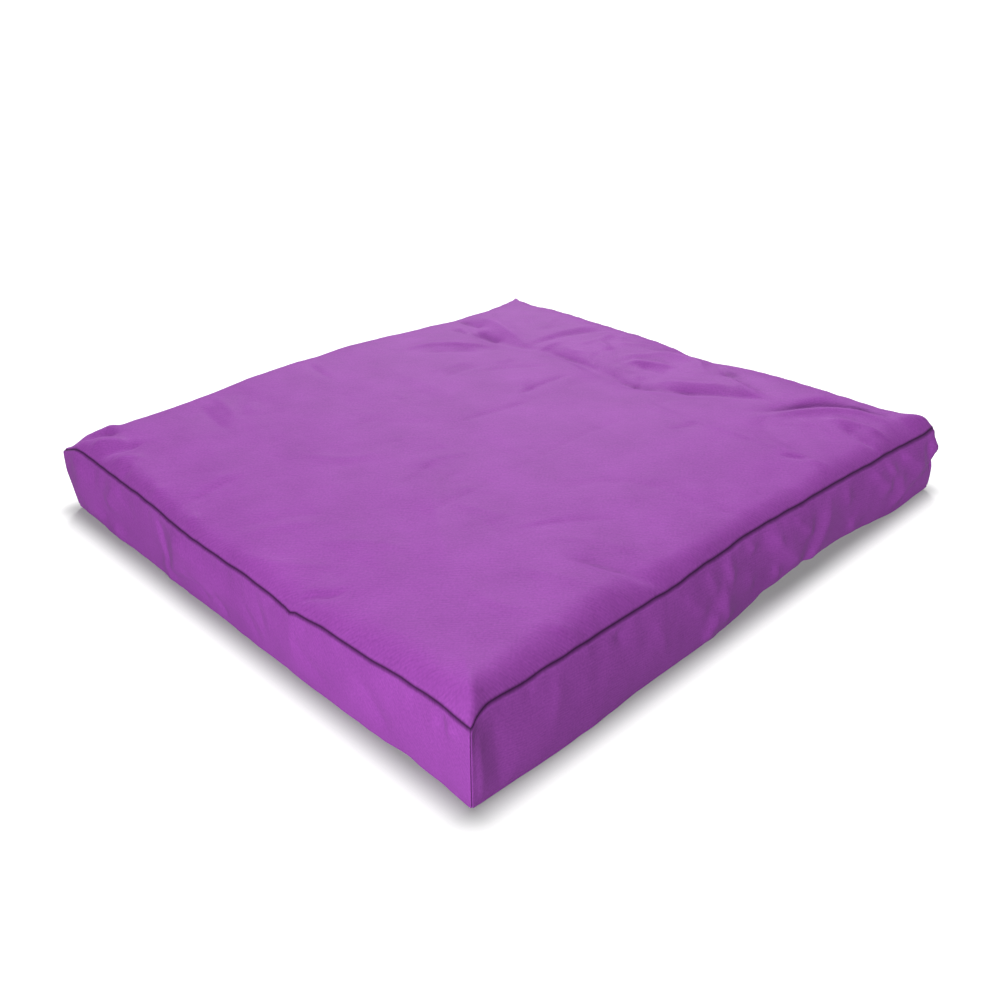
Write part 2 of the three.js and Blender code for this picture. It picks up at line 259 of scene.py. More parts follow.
# Folds of the top panel. Each runs along the smooth line through the (x, y) points of its path.
# left and right are the distances over which it falls away on each hand of that way. A positive
# height is a ridge, a negative one a trough.
FOLD_COLUMNS = ["path", "left", "right", "height"]
TOP_FOLDS = rows_of(FOLD_COLUMNS, [
    # The long valley that crosses the panel towards its back edge, and its branch to the right
    [[(-335, 222), (-298, 207), (-256, 196), (-222, 180), (-184, 180), (-150, 190), (-108, 202),
      (-60, 205), (-22, 198), (20, 194), (60, 197), (92, 203), (140, 220), (184, 238),
      (216, 249)], 17, 24, -3.4],
    [[(222, 220), (238, 194), (274, 178), (324, 172)], 26, 16, -1.9],
    [[(-306, 208), (-276, 208), (-244, 204)], 14, 6, -3.4],
    [[(-246, 186), (-214, 184), (-184, 186)], 13, 6, -3.4],
    [[(-274, 169), (-238, 169)], 9, 5, -1.8],
    [[(-286, 236), (-242, 226), (-196, 212), (-160, 200)], 15, 9, 2.2],
    [[(-120, 206), (-100, 204), (-44, 207), (-14, 196)], 8, 9, -1.6],
    # Folds between that valley and the back edge
    [[(-128, 345), (-146, 292), (-152, 250), (-153, 205)], 12, 20, 1.65],
    [[(-108, 338), (-128, 298), (-139, 262), (-143, 230), (-143, 196)], 7, 13, -2.4],
    [[(-122, 245), (-128, 185)], 5, 8, 1.2],
    [[(-96, 312), (-90, 285), (-98, 240)], 8, 9, 1.32],
    [[(-108, 286), (-88, 306), (-56, 315)], 7, 8, 1.44],
    [[(-86, 276), (-68, 268), (-50, 260)], 6, 7, 2.0],
    [[(-30, 250), (-12, 280), (4, 312)], 9, 14, 2.0],
    [[(-68, 286), (-48, 303), (-30, 320)], 7, 7, 1.1],
    [[(-20, 296), (4, 310), (30, 317), (50, 317), (66, 305), (84, 286)], 11, 15, 3.6],
    [[(-14, 242), (-4, 256), (10, 267), (30, 274), (48, 279)], 5, 9, 2.8],
    [[(2, 250), (30, 254), (56, 252)], 9, 8, -1.8],
    [[(54, 214), (76, 224), (102, 238), (128, 252), (152, 260)], 9, 11, 2.6],
    [[(42, 188), (46, 206), (28, 228)], 6, 7, -1.7],
    [[(86, 318), (110, 303), (148, 290), (204, 271)], 15, 6, -3.4],
    [[(102, 288), (126, 279), (162, 266), (206, 254)], 7, 13, 2.6],
    [[(76, 204), (108, 217), (148, 239), (188, 254), (216, 258)], 10, 9, -3.0],
    [[(208, 216), (228, 252), (246, 290), (272, 318), (306, 334), (345, 336)], 13, 6, -3.8],
    [[(222, 214), (242, 248), (264, 284), (288, 308), (316, 316), (345, 314)], 6, 8, 2.6],
    [[(226, 268), (234, 300), (250, 340)], 12, 9, 1.3],
    [[(296, 268), (318, 257), (348, 258)], 7, 5, -2.6],
    [[(272, 258), (298, 276), (344, 290)], 5, 10, 2.8],
    [[(-24, 209), (0, 204), (25, 197), (60, 196), (90, 200)], 8, 5, -1.6],
    # Finer creases between them
    [[(-290, 262), (-262, 246), (-238, 240)], 5, 5, -0.9],
    [[(-270, 300), (-232, 284), (-196, 258)], 6, 6, -0.9],
    [[(-210, 318), (-190, 280), (-186, 240)], 6, 5, 0.9],
    [[(-176, 330), (-172, 290), (-176, 252)], 5, 5, -0.7],
    [[(-116, 232), (-92, 226), (-70, 232)], 5, 5, 0.9],
    [[(-60, 246), (-52, 226), (-38, 214)], 5, 5, -1.0],
    [[(-20, 232), (2, 226), (24, 232)], 5, 6, 1.0],
    [[(64, 262), (92, 274), (120, 276)], 5, 5, 1.0],
    [[(80, 330), (104, 318), (128, 312)], 6, 5, 1.3],
    [[(250, 236), (276, 240), (306, 232)], 5, 5, 0.9],
    [[(262, 330), (286, 336), (320, 344)], 5, 5, 1.2],
    [[(206, 150), (232, 158), (262, 160)], 5, 5, 0.7],
    [[(60, 176), (100, 170), (150, 172)], 6, 6, 0.7],
    [[(-280, 186), (-250, 176), (-222, 166)], 5, 5, 0.9],
    [[(-92, 188), (-58, 186), (-30, 180)], 5, 5, 0.8],
    [[(6, 176), (40, 178), (78, 186)], 5, 5, -0.7],
    # The ridges and creases in front of the valley
    [[(-152, 160), (-196, 130), (-226, 98), (-242, 46)], 8, 15, 3.0],
    [[(-164, 128), (-198, 98), (-217, 58)], 10, 8, -1.5],
    [[(-262, 130), (-280, 92), (-288, 58)], 9, 9, 0.8],
    [[(-62, 168), (-88, 132), (-106, 98), (-117, 60)], 9, 7, -1.05],
    [[(-118, 142), (-124, 108)], 7, 8, 0.9],
    [[(-146, 92), (-150, 58), (-144, 22)], 6, 10, 1.27],
    [[(-130, 96), (-131, 60), (-126, 18)], 8, 6, -1.05],
    [[(-29, 155), (-31, 110), (-27, 60)], 8, 5, -1.33],
    [[(-29, 92), (-28, 62)], 6, 5, -0.9],
    [[(-64, 102), (-38, 78)], 7, 6, 0.9],
    [[(-2, 66), (-8, 10), (-18, -54)], 8, 5, -0.83],
    [[(-212, -9), (-130, -8), (-48, -7)], 10, 11, 0.59],
    [[(-132, -54), (-108, -50)], 6, 6, 0.5],
    [[(28, 60), (95, 57), (150, 47), (212, 40)], 5, 8, -0.68],
    [[(68, 162), (100, 148), (142, 137), (192, 140), (250, 150), (300, 154)], 8, 6, 1.3],
    [[(252, 158), (312, 162), (345, 176)], 8, 6, 1.2],
    [[(290, 144), (320, 166)], 3, 3, -1.3],
    [[(186, 134), (172, 98)], 7, 6, -0.9],
    # The pinch near the middle and what runs out of it
    [[(50, -84), (38, -110), (27, -138), (24, -168)], 7, 9, 1.04],
    [[(36, -132), (42, -160), (48, -200)], 8, 6, -1.17],
    [[(18, -100), (4, -136)], 9, 10, -0.75],
    [[(58, -150), (84, -174), (118, -204), (160, -234), (210, -268)], 9, 24, 1.56],
    [[(79, -128), (73, -150), (88, -172)], 6, 5, -0.59],
    [[(90, -168), (104, -150), (130, -136)], 8, 8, 0.59],
    [[(112, -184), (150, -172), (193, -160)], 6, 8, 0.78],
    [[(168, -182), (196, -196)], 8, 8, -0.78],
    [[(-16, -52), (-50, -84), (-76, -104), (-102, -120)], 17, 20, -0.59],
    [[(6, -77), (-26, -112), (-62, -136)], 14, 15, 0.45],
    [[(-111, -94), (-110, -150)], 5, 9, 0.52],
    [[(-96, -100), (-97, -165)], 8, 5, -0.59],
    [[(-32, -148), (-34, -178), (-54, -201), (-90, -220)], 10, 7, 1.05],
    # Folds that fan out to the right seam
    [[(180, -122), (184, -82), (204, -44), (244, -18), (306, -6), (345, 24)], 11, 15, -0.96],
    [[(192, -186), (206, -154), (218, -122)], 7, 5, 0.54],
    [[(198, -180), (214, -150), (236, -118), (260, -90)], 6, 10, -0.72],
    [[(236, -166), (266, -138), (300, -121), (342, -106)], 9, 9, 0.78],
    [[(262, -180), (286, -170), (312, -159), (336, -144), (350, -128)], 18, 6, -2.4],
    [[(246, -222), (284, -206), (320, -190), (350, -172)], 8, 14, 1.02],
    [[(246, -275), (284, -270), (308, -252)], 8, 9, 0.84],
    [[(300, -334), (353, -373)], 8, 8, 1.6],
    [[(326, -262), (352, -240)], 7, 7, 1.4],
    # Folds near the front seam
    [[(34, -278), (6, -308), (-22, -352)], 7, 10, -0.8],
    [[(46, -286), (18, -316), (-8, -357)], 10, 7, 0.8],
    [[(152, -266), (112, -280), (84, -300), (62, -316)], 12, 7, 0.95],
    [[(114, -326), (84, -346), (52, -363), (6, -375)], 9, 6, 0.85],
    [[(128, -350), (124, -296)], 17, 17, -1],
    [[(116, -382), (128, -367), (146, -355), (153, -338)], 4, 5, -2.1],
    [[(160, -350), (166, -318), (158, -286)], 9, 9, 0.65],
    [[(-103, -286), (-103, -370)], 8, 6, -1.2],
    [[(-117, -288), (-120, -368)], 8, 10, 0.9],
    [[(-297, -230), (-250, -240), (-200, -244)], 8, 22, -1.68],
    [[(-300, -208), (-262, -213), (-225, -222)], 14, 9, 1.6],
    [[(-250, -182), (-222, -204)], 10, 12, 0.9],
    [[(-296, -66), (-270, -74), (-231, -80)], 6, 9, -1.2],
    # The creased corner at the left of the front seam
    [[(-345, -374), (-334, -350), (-312, -322)], 8, 10, 2.97],
    [[(-330, -372), (-318, -352), (-296, -332)], 8, 9, -3.04],
    [[(-304, -374), (-290, -352), (-272, -338)], 7, 9, 2.43],
    [[(-280, -376), (-266, -352), (-254, -326)], 8, 8, -2.63],
    [[(-252, -376), (-240, -358), (-222, -344)], 8, 8, 2.03],
    [[(-226, -378), (-214, -364)], 7, 7, -2.0],
    [[(-160, -378), (-150, -362)], 9, 9, 1.4],
    [[(-82, -378), (-76, -362)], 9, 9, 1.4],
])

# Folds of the boxing, their paths as (s, t) points: s along the side and t up it, from 0 at the
# floor to 1 at the seam.
SIDE_FOLDS = {
    "front": rows_of(FOLD_COLUMNS, [
        [[(0.076, 1.04), (0.068, 0.74), (0.054, 0.46), (0.04, 0.2)], 44, 22, 3.6],
        [[(0.192, 1.02), (0.17, 0.76), (0.156, 0.5)], 18, 15, 2.2],
        [[(0.13, 0.96), (0.128, 0.7)], 9, 9, 0.6],
        [[(0.05, 0.14), (0.1, 0.26), (0.14, 0.28)], 14, 9, 1.7],
        [[(0.168, 0.34), (0.162, 0.05)], 18, 14, 1.8],
        [[(0.314, 1.02), (0.321, 0.78), (0.332, 0.5), (0.35, 0.24)], 24, 3, -1.3],
        [[(0.385, 1.04), (0.38, 0.75), (0.372, 0.45), (0.374, 0.22)], 60, 22, 3.0],
        [[(0.328, 0.4), (0.336, 0.2), (0.346, 0.05)], 20, 14, 1.8],
        [[(0.4, 0.55), (0.43, 0.34), (0.46, 0.22)], 5, 7, -0.8],
        [[(0.47, 0.5), (0.485, 0.3), (0.5, 0.12)], 5, 7, -0.9],
        [[(0.55, 0.6), (0.572, 0.34), (0.59, 0.2)], 5, 7, -0.7],
        [[(0.59, 0.85), (0.594, 0.6), (0.602, 0.38)], 7, 8, -0.7],
        [[(0.66, 0.8), (0.7, 0.45), (0.75, 0.25)], 9, 12, -0.7],
        [[(0.8, 0.75), (0.835, 0.45), (0.86, 0.2)], 9, 12, -0.8],
        [[(0.972, 0.99), (0.962, 0.78)], 7, 6, 1.5],
        [[(0.95, 0.98), (0.945, 0.78)], 8, 7, -1.0],
    ]),
    "right": rows_of(FOLD_COLUMNS, [
        [[(0.012, 0.95), (0.014, 0.5), (0.013, 0.05)], 10, 4, 0.8],
        [[(0.04, 0.92), (0.042, 0.5), (0.04, 0.1)], 10, 8, -0.6],
        [[(0.14, 0.9), (0.128, 0.62), (0.12, 0.4)], 9, 9, 0.5],
        [[(0.235, 0.98), (0.24, 0.76)], 7, 5, -0.8],
        [[(0.3, 0.8), (0.315, 0.5), (0.32, 0.28)], 11, 7, 0.6],
        [[(0.36, 0.9), (0.385, 0.62), (0.41, 0.45)], 12, 7, 0.8],
        [[(0.405, 0.98), (0.42, 0.75), (0.424, 0.6)], 9, 6, 0.9],
        [[(0.447, 1.02), (0.454, 0.8), (0.458, 0.6)], 10, 5, 1.3],
        [[(0.443, 0.68), (0.441, 0.42), (0.45, 0.08)], 17, 10, 2.0],
        [[(0.43, 0.4), (0.414, 0.24), (0.4, 0.06)], 15, 8, 1.7],
        [[(0.498, 1.02), (0.512, 0.78)], 9, 5, 1.3],
        [[(0.495, 0.6), (0.51, 0.35)], 12, 8, 0.6],
        [[(0.536, 1.04), (0.565, 0.73), (0.597, 0.46), (0.626, 0.16)], 25, 9, 3.0],
        [[(0.56, 0.46), (0.572, 0.2)], 8, 4, 1.2],
        [[(0.598, 1.02), (0.62, 0.8), (0.648, 0.56)], 15, 6, 1.6],
        [[(0.7, 0.96), (0.682, 0.7), (0.668, 0.48), (0.652, 0.28), (0.645, 0.1)], 25, 12, 1.9],
        [[(0.647, 0.36), (0.643, 0.16)], 9, 4, 1.2],
        [[(0.736, 1.02), (0.74, 0.8), (0.745, 0.6)], 10, 6, 1.0],
        [[(0.75, 0.42), (0.762, 0.26), (0.77, 0.12)], 14, 7, 1.4],
        [[(0.802, 1.04), (0.83, 0.74), (0.862, 0.46)], 15, 7, 2.3],
        [[(0.84, 1.04), (0.866, 0.74), (0.9, 0.46)], 12, 6, 2.0],
        [[(0.888, 1.04), (0.926, 0.76), (0.962, 0.54)], 23, 8, 2.7],
        [[(0.99, 0.64), (0.945, 0.48), (0.9, 0.38), (0.86, 0.16)], 7, 16, 2.2],
        [[(0.975, 0.34), (0.925, 0.26), (0.885, 0.12)], 8, 9, -1.0],
        [[(0.975, 0.76), (1.0, 0.76)], 11, 11, 2.6],
        [[(0.985, 0.5), (1.0, 0.5)], 6, 6, -3.0],
    ]),
    "back": rows_of(FOLD_COLUMNS, [
        [[(0.0, 0.74), (0.025, 0.74)], 11, 11, 1.5],
        [[(0.0, 0.5), (0.01, 0.5)], 6, 6, -3.0],
        [[(0.12, 0.98), (0.15, 0.55), (0.14, 0.12)], 14, 12, 0.9],
        [[(0.29, 1.0), (0.33, 0.6), (0.375, 0.12)], 12, 18, 1.5],
        [[(0.33, 0.95), (0.36, 0.6)], 12, 10, -0.7],
        [[(0.47, 1.0), (0.465, 0.5), (0.46, 0.1)], 18, 18, -1.2],
        [[(0.51, 1.0), (0.535, 0.6), (0.55, 0.25)], 13, 10, 0.9],
        [[(0.67, 1.0), (0.635, 0.6), (0.59, 0.1)], 12, 17, 1.4],
        [[(0.81, 1.0), (0.795, 0.6), (0.79, 0.25)], 14, 11, 0.8],
    ]),
    "left": rows_of(FOLD_COLUMNS, [
        [[(0.06, 1.0), (0.085, 0.6), (0.1, 0.25)], 12, 14, 0.9],
        [[(0.175, 1.0), (0.205, 0.65), (0.25, 0.12)], 12, 17, 1.4],
        [[(0.21, 0.95), (0.24, 0.6)], 11, 10, -0.6],
        [[(0.365, 1.0), (0.355, 0.6), (0.35, 0.2)], 13, 12, 0.8],
        [[(0.53, 1.0), (0.495, 0.55), (0.455, 0.1)], 12, 17, 1.3],
        [[(0.68, 1.0), (0.7, 0.55), (0.69, 0.12)], 14, 13, 0.9],
        [[(0.895, 1.0), (0.92, 0.65), (0.955, 0.12)], 12, 15, 1.3],
    ]),
}

SIDE_NAMES = ["front", "right", "back", "left"]
SIDE_LENGTH = {"front": WIDTH, "right": DEPTH, "back": WIDTH, "left": DEPTH}
SIDE_START = {"front": 0, "right": WIDTH, "back": WIDTH + DEPTH, "left": 2 * WIDTH + DEPTH}


def along(side, column, s):
    """A column of a side's table, read smoothly at any s without overshooting its rows."""
    rows, values = side["s"], side[column]
    secant = np.diff(values) / np.diff(rows)
    before, after = secant[:-1], secant[1:]
    turning = before * after <= 0
    total = np.where(turning, 1, before + after)
    inner = np.where(turning, 0, 2 * before * after / total)
    slope = np.concatenate([[0], inner, [0]])
    i = np.clip(np.searchsorted(rows, s, side="right") - 1, 0, len(rows) - 2)
    span = rows[i + 1] - rows[i]
    t = np.clip((s - rows[i]) / span, 0, 1)
    start = (2 * t**3 - 3 * t**2 + 1) * values[i] + (t**3 - 2 * t**2 + t) * slope[i] * span
    end = (3 * t**2 - 2 * t**3) * values[i + 1] + (t**3 - t**2) * slope[i + 1] * span
    return start + end


def smooth_line(path):
    """A smooth line through the points of a path."""
    points = np.array(path, float)
    padded = np.concatenate([[2 * points[0] - points[1]], points, [2 * points[-1] - points[-2]]])
    share = np.linspace(0, 1, PATH_STEPS + 1)[:-1, None]
    line = []
    for a, b, c, d in zip(padded, padded[1:], padded[2:], padded[3:]):
        bend = (2 * a - 5 * b + 4 * c - d) * share**2 + (3 * b - a - 3 * c + d) * share**3
        line.append(b + ((c - a) * share + bend) / 2)
    return np.concatenate(line + [points[-1:]])


def fold_relief(px, py, folds, scale=(1, 1)):
    """The summed height of all the folds at the places px, py."""
    px, py = np.broadcast_arrays(px, py)
    total = np.zeros(px.shape)
    for fold in folds:
        line = smooth_line(fold["path"]) * scale
        reach = FOLD_REACH * max(fold["left"], fold["right"])
        low, high = line.min(0) - reach, line.max(0) + reach
        near = (px > low[0]) & (px < high[0]) & (py > low[1]) & (py < high[1])
        total[near] += one_fold(px[near], py[near], line, fold)
    return total


def one_fold(px, py, line, fold):
    """Height of one fold: a crest across its line that narrows and fades out at both ends."""
    step = np.diff(line, axis=0)
    length = np.hypot(step[:, 0], step[:, 1])
    before = np.concatenate([[0], np.cumsum(length)])
    nearest = np.full(px.shape, np.inf)
    across = np.zeros(px.shape)
    along_it = np.zeros(px.shape)
    for i, (dx, dy) in enumerate(step):
        ox, oy = px - line[i, 0], py - line[i, 1]
        t = np.clip((ox * dx + oy * dy) / length[i] ** 2, 0, 1)
        distance = np.hypot(ox - t * dx, oy - t * dy)
        closer = distance < nearest
        nearest = np.where(closer, distance, nearest)
        across = np.where(closer, np.sign(dx * oy - dy * ox) * distance, across)
        along_it = np.where(closer, before[i] + t * length[i], along_it)
    share = along_it / before[-1]
    inside = np.clip(np.minimum(share, 1 - share) / FOLD_TAPER, 0, 1)
    inside = inside * inside * (3 - 2 * inside)
    width = np.where(across > 0, fold["left"], fold["right"])
    width = width * (FOLD_NARROW + (1 - FOLD_NARROW) * inside)
    fade = FOLD_END + (1 - FOLD_END) * inside
    return fold["height"] * fade * np.exp(-(nearest / width) ** FOLD_SHARPNESS)


def waves(draw, shortest, longest, size, flat=False):
    """A seeded smooth unevenness as directions, phases and amplitudes of many waves."""
    length = np.exp(draw.uniform(math.log(shortest), math.log(longest), WAVES))
    angle = np.zeros(WAVES) if flat else draw.uniform(0, 2 * math.pi, WAVES)
    phase = draw.uniform(0, 2 * math.pi, WAVES)
    amplitude = length / np.sqrt(np.mean(length**2) * WAVES / 2) * size
    turn = 2 * math.pi / length
    return turn * np.cos(angle), turn * np.sin(angle), phase, amplitude


def unevenness(px, py, field):
    """The height of such an unevenness at the places px, py."""
    px, py = np.broadcast_arrays(px, py)
    total = np.zeros(px.shape)
    for kx, ky, phase, amplitude in zip(*field):
        total += amplitude * np.sin(kx * px + ky * py + phase)
    return total


draw = np.random.RandomState(SEED)
LUMPS = waves(draw, *LUMP_LENGTHS, LUMP_SIZE)
WRINKLES = waves(draw, *WRINKLE_LENGTHS, WRINKLE_SIZE)
PUCKERS = waves(draw, *PUCKER_LENGTHS, PUCKER_SIZE, flat=True)
WANDER = waves(draw, *WANDER_LENGTHS, WANDER_SIZE, flat=True)


def shoulder(distance, roll, share):
    """From 0 at a seam to 1 where the panel has risen to its full crown."""
    fast = 1 - np.clip(1 - distance / roll, 0, 1) ** ROLL_POWER
    slow = 1 - np.clip(1 - distance / SLOW_ROLL, 0, 1) ** ROLL_POWER
    return share * fast + (1 - share) * slow


def rising(distance, reach):
    """From 0 at a seam to 1 well away from it."""
    return 1 - np.exp(-distance / reach)


def drawn_in(distance):
    """How far a seam holds the cloth in, at a distance from it."""
    return LIP * np.exp(-distance / LIP_REACH) + CRACK * np.exp(-distance / CRACK_REACH)


# How far the faces stand out from the lines between the corners
FACE_OUT = drawn_in(0) + SEAM_OUT


def puckers(run, distance):
    """Small gathers across a seam, at a run along it and a distance from it."""
    fade = np.exp(-distance / PUCKER_REACH) * rising(distance, LIP_REACH)
    return unevenness(run, 0, PUCKERS) * fade


def wander(side, s):
    """How far the stitching of a side's top seam strays up from its smooth line."""
    run = s * SIDE_LENGTH[side]
    end = np.clip(np.minimum(run, SIDE_LENGTH[side] - run) / WANDER_END, 0, 1)
    return unevenness(run + SIDE_START[side], 0, WANDER) * end


def seam_height(side, s):
    """Height of a side's top seam."""
    return WALL + along(SEAM[side], "rise", s) + wander(side, s)


def wall_relief(side, s, t):
    """Folds, gathers and unevenness of a side, which fade out at its top seam."""
    length = SIDE_LENGTH[side]
    run = s * length + SIDE_START[side]
    folds = SIDE_RELIEF * fold_relief(s * length, t * WALL, SIDE_FOLDS[side], (length, WALL))
    small = unevenness(run, t * WALL, LUMPS) + unevenness(run, t * WALL, WRINKLES)
    clear = np.minimum(1, np.maximum(0, 1 - t) / FOLD_CLEAR_SHARE)
    return (folds + small) * clear + puckers(run, np.maximum(0, 1 - t) * WALL)


def wall_out(side, s, t):
    """How far the boxing of a side stands out from the straight line between its corners."""
    foot = along(FOOT[side], "out", s)
    inset = along(SEAM[side], "inset", s)
    belly = along(FOOT[side], "belly", s)
    full = seam_height(side, s)
    to_seam = (1 - t) * full
    to_foot = np.abs(t * full - FOOT_UP - along(FOOT[side], "lift", s))
    swell = belly * np.sin(math.pi * np.clip(t, 0, 1))
    seam = FACE_OUT - drawn_in(to_seam) - FOOT_GROOVE * np.exp(-to_foot / FOOT_GROOVE_REACH)
    return foot * (1 - t) - inset * t + swell + seam + wall_relief(side, s, t)


def place_on_side(side, s, out, start_out, end_out, z):
    """Points of a side, given how far it stands out there and at the side's two ends."""
    half_x, half_y = WIDTH / 2, DEPTH / 2
    z = np.broadcast_to(z, np.shape(out))
    if side == "front":
        x = (1 - s) * (-half_x - start_out) + s * (half_x + end_out)
        return np.stack([x, -half_y - out, z], -1)
    if side == "right":
        y = (1 - s) * (-half_y - start_out) + s * (half_y + end_out)
        return np.stack([half_x + out, y, z], -1)
    if side == "back":
        x = (1 - s) * (half_x + start_out) + s * (-half_x - end_out)
        return np.stack([x, half_y + out, z], -1)
    y = (1 - s) * (half_y + start_out) + s * (-half_y - end_out)
    return np.stack([-half_x - out, y, z], -1)


def side_points(side, s, z, inside):
    """Points of a side at heights z, drawn in by inside. s, z and inside broadcast."""
    k = SIDE_NAMES.index(side)
    before, after = SIDE_NAMES[k - 1], SIDE_NAMES[(k + 1) % 4]
    share = z / seam_height(side, s)
    pull = inside + drawn_in(np.minimum(s, 1 - s) * SIDE_LENGTH[side])
    out = wall_out(side, s, share) - pull
    start_out = wall_out(before, np.ones_like(s), share) - pull
    end_out = wall_out(after, np.zeros_like(s), share) - pull
    return place_on_side(side, s, out, start_out, end_out, z)


def seam_values(u, v, column):
    """A column of the front, right, back and left seam, straight across from a place."""
    shares = [u, v, 1 - u, 1 - v]
    return [along(SEAM[name], column, share) for name, share in zip(SIDE_NAMES, shares)]


def top_edges(u, v):
    """Distances of a place on the top panel from the front, right, back and left seam."""
    return [v * DEPTH, (1 - u) * WIDTH, (1 - v) * DEPTH, u * WIDTH]


def top_points(u, v):
    """Points of the top panel. The insets and rises of its four seams are blended across."""
    front, right, back, left = seam_values(u, v, "inset")
    x = (u - 0.5) * WIDTH + (1 - u) * left - u * right
    y = (v - 0.5) * DEPTH + (1 - v) * front - v * back
    front, right, back, left = seam_values(u, v, "rise")
    rise = (1 - v) * front + v * back + u * right + (1 - u) * left
    edges = top_edges(u, v)
    rolls, shares = seam_values(u, v, "roll"), seam_values(u, v, "share")
    crown = CROWN * np.prod([shoulder(*three) for three in zip(edges, rolls, shares)], axis=0)
    nearest = np.min(edges, axis=0)
    groove = FACE_OUT - drawn_in(nearest)
    middle = 16 * u * (1 - u) * v * (1 - v)
    dome = DOME * middle**DOME_POWER
    folds = TOP_RELIEF * fold_relief(x, y, TOP_FOLDS) * rising(nearest, FOLD_CLEAR)
    small = (unevenness(x, y, LUMPS) + unevenness(x, y, WRINKLES)) * rising(nearest, FOLD_CLEAR)
    runs = [x, y, -x, -y]
    gathers = sum(puckers(run + SIDE_START[name], edge)
                  for run, name, edge in zip(runs, SIDE_NAMES, edges))
    strays = sum(wander(name, share) * np.exp(-edge / WANDER_REACH)
                 for share, name, edge in zip([u, v, 1 - u, 1 - v], SIDE_NAMES, edges))
    z = WALL + rise + crown + groove + dome + folds + small + gathers + strays
    return np.stack([x, y, z], -1)


def grid_shares(length):
    """Shares from 0 to 1 that follow the seam steps in from both ends of a length."""
    steps = np.array(SEAM_STEPS)
    inner = steps[-1]
    cells = round((length - 2 * inner) / TOP_STEP)
    middle = np.linspace(inner, length - inner, cells + 1)
    return np.concatenate([steps[:-1], middle, (length - steps[:-1])[::-1]]) / length


def wall_heights(full, lift):
    """Heights of the boxing's rows from just under the seam down to the lower seam."""
    steps = np.array(SEAM_STEPS[1:])
    lower = lift[None, :] + FOOT_UP + np.array(LOWER_STEPS)[:, None]
    cells = round((WALL - steps[-1] - FOOT_UP - LOWER_STEPS[0]) / WALL_STEP)
    shares = np.linspace(0, 1, cells + 1)[1:-1, None]
    upper = full[None, :] - steps[:, None]
    middle = upper[-1] + (lower[0] - upper[-1])[None, :] * shares
    return np.concatenate([upper, middle, lower])


def foot_rows(lift):
    """Heights of the rounded lower edge's rows and how far each stays inside."""
    angle = np.linspace(0, math.pi / 2, FOOT_ROWS + 1)[1:, None]
    up = FOOT_UP * (1 - np.sin(angle))
    inside = FOOT_IN * (1 - np.cos(angle)) + LIFT_TUCK * lift * (1 - np.cos(angle)) ** 2
    height = lift * np.cos(angle) ** LIFT_POWER + up
    return height, inside


def turned(flat, panel):
    """Places on a flat panel, turned so that its twill lines run along the first axis."""
    a = math.radians(WALE_SLANT[panel])
    x, y = flat[..., 0], flat[..., 1]
    return np.stack([x * math.cos(a) + y * math.sin(a), y * math.cos(a) - x * math.sin(a)], -1)


def cells_of(grid):
    """The four corners of each cell of a grid, in the order of the faces of a panel."""
    return np.stack([grid[:-1, :-1], grid[:-1, 1:], grid[1:, 1:], grid[1:, :-1]], 2)


def ring_cells(rings, closed):
    """The four corners of each cell between rings that follow each other downward."""
    after = np.concatenate([rings[:, 1:], closed[:, None]], 1)
    return np.stack([rings[:-1], rings[1:], after[1:], after[:-1]], 2)


def seam_shade(distance):
    """From 1 on a seam to 0 away from it: how much shade is painted into the cloth along a seam's
    crack.
    """
    return np.exp(-(distance / SEAM_SHADE_REACH) ** 2)


def rim_of(us, vs, index):
    """The top panel's edge once round: the places along each side and the points there."""
    return {
        "front": (us[:-1], index[0, :-1]),
        "right": (vs[:-1], index[:-1, -1]),
        "back": (1 - us[:0:-1], index[-1, :0:-1]),
        "left": (1 - vs[:0:-1], index[:0:-1, 0]),
    }


def build_wall(side, s):
    """A side below its seam, in rows downward: points, flat places and painted seam shades."""
    length = SIDE_LENGTH[side]
    lift = along(FOOT[side], "lift", s)
    full = seam_height(side, s)
    z = wall_heights(full, lift)
    foot_z, foot_in = foot_rows(lift)
    inside = np.concatenate([np.zeros_like(z), foot_in])
    heights = np.concatenate([z, foot_z])
    points = side_points(side, s[None, :], heights, inside)

    # The flat places start with a row on the seam and end with a column on the next corner
    down = np.concatenate([np.zeros((1, len(s))), full[None, :] - heights])
    down = np.concatenate([down, down[:, -1:]], 1)
    run = np.append(s, 1) * length + np.zeros((len(down), 1))
    flat = turned(np.stack([run, down], -1), side)
    to_corner = np.minimum(s, 1 - s)[None, :] * length
    return points, flat, seam_shade(np.minimum(full - heights, to_corner))


